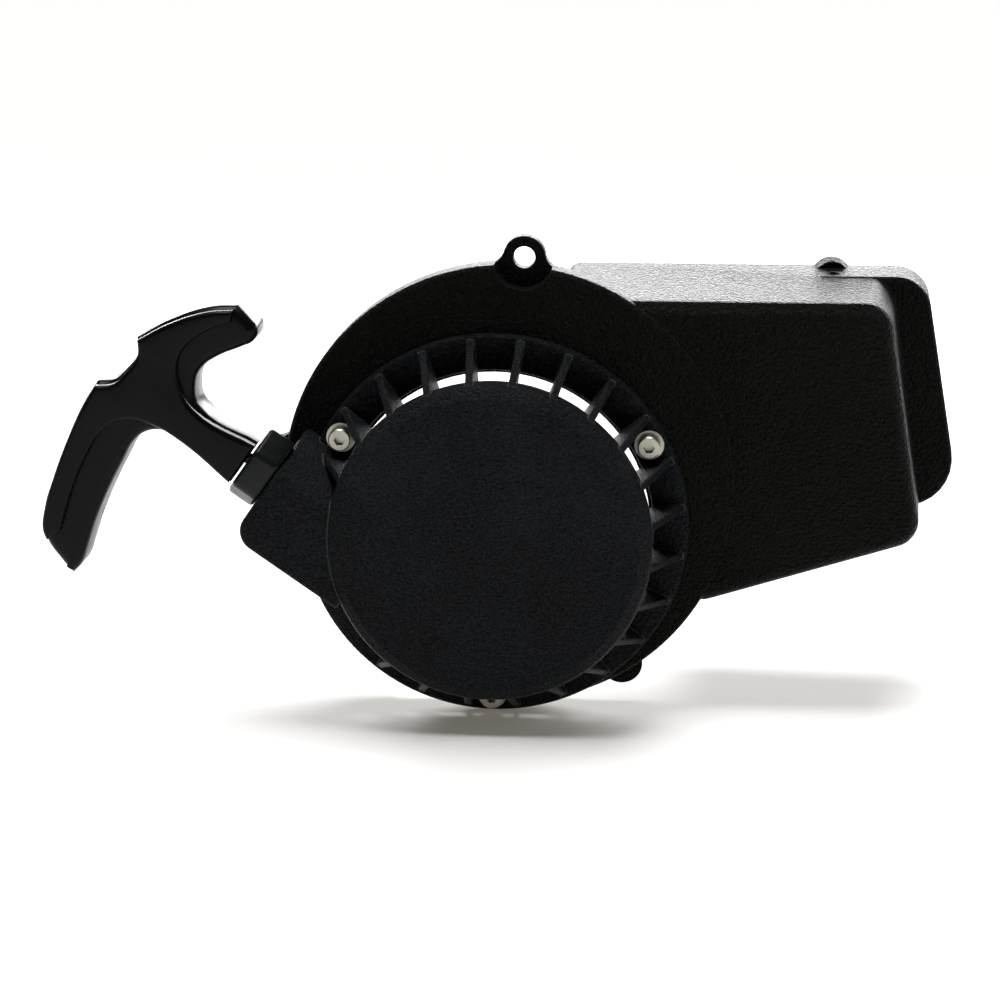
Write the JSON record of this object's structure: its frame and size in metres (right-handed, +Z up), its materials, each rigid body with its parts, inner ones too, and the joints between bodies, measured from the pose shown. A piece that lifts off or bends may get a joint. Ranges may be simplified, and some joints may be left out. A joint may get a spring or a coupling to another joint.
{
  "type": "recoil starter",
  "caption": "Recoil starter with an offset round fan plate, side air duct, ribbed spring housing, rope guide and curved pull handle.",
  "frame": {"origin": "on the crank axis, in the plane of the mounting ears' back faces", "axes": "+Y along the crank axis towards the engine, so the rounded spring housing faces -Y; +X towards the air duct; +Z up, towards the top mounting ear"},
  "size_m": [0.283, 0.076, 0.1487],
  "materials": {
    "cover": "black crackle coat",
    "housing": "fine leather grain",
    "screw": "yellow zinc",
    "washer": "zinc",
    "guide": "satin",
    "eyelet": "polished",
    "handle": "gloss",
    "plug": "gloss",
    "rope": "braided",
    "reel": "natural nylon",
    "bush": "oiled",
    "spring": "blued",
    "disc": "rolled",
    "pin": "turned",
    "pawl": "sintered",
    "wire": "drawn",
    "plate": "zinc",
    "bolt": "black-grey zinc"
  },
  "bodies": {
    "housing": {"fan_cover": "cover", "recoil_housing": "housing", "cover_screws": "screw", "cover_washers": "washer", "rope_guide": "guide", "rope_eyelet": "eyelet", "recoil_spring": "spring", "spring_cover": "disc", "spring_pin": "pin", "brake_spring": "wire", "centre_washer": "washer", "centre_screw": "bolt"},
    "handle": {"pull_handle": "handle", "handle_plug": "plug", "handle_knot": "rope", "rope_run": "rope"},
    "reel": {"reel": "reel", "reel_bush": "bush", "rope_coil": "rope", "reel_knot": "rope", "pawl_pins": "pin", "pawl_springs": "wire"},
    "cam": {"friction_plate": "plate"},
    "pawl_a": {"pawl_upper": "pawl"},
    "pawl_b": {"pawl_lower": "pawl"}
  },
  "joints": [
    {"name": "handle_pull", "type": "slide", "parent": "housing", "child": "handle", "axis": [-0.8171, 0, 0.5764], "range_m": [0, 0.6], "stiffness_N_per_m": 8, "springref_m": -1, "deforming": ["rope_run"]},
    {"name": "reel_spin", "type": "hinge", "parent": "housing", "child": "reel", "pos_m": [0, 0, 0], "axis": [0, 1, 0], "range_deg": [0, 1260], "deforming": ["recoil_spring"]},
    {"name": "cam_turn", "type": "hinge", "parent": "reel", "child": "cam", "pos_m": [0, 0, 0], "axis": [0, 1, 0], "range_deg": [-24, 0], "stiffness_Nm_per_rad": 0.003, "springref_deg": 22.92},
    {"name": "pawl_a_swing", "type": "hinge", "parent": "reel", "child": "pawl_a", "pos_m": [0, 0, 0.0165], "axis": [0, 1, 0], "range_deg": [-28.1, 0]},
    {"name": "pawl_b_swing", "type": "hinge", "parent": "reel", "child": "pawl_b", "pos_m": [0, 0, -0.0165], "axis": [0, 1, 0], "range_deg": [-28.1, 0]}
  ],
  "couplings": [
    {"joint": "reel_spin", "follows": "handle_pull", "rad_per_m": 36.5},
    {"joint": "pawl_a_swing", "follows": "cam_turn", "ratio": 1.1667},
    {"joint": "pawl_b_swing", "follows": "cam_turn", "ratio": 1.1667}
  ]
}
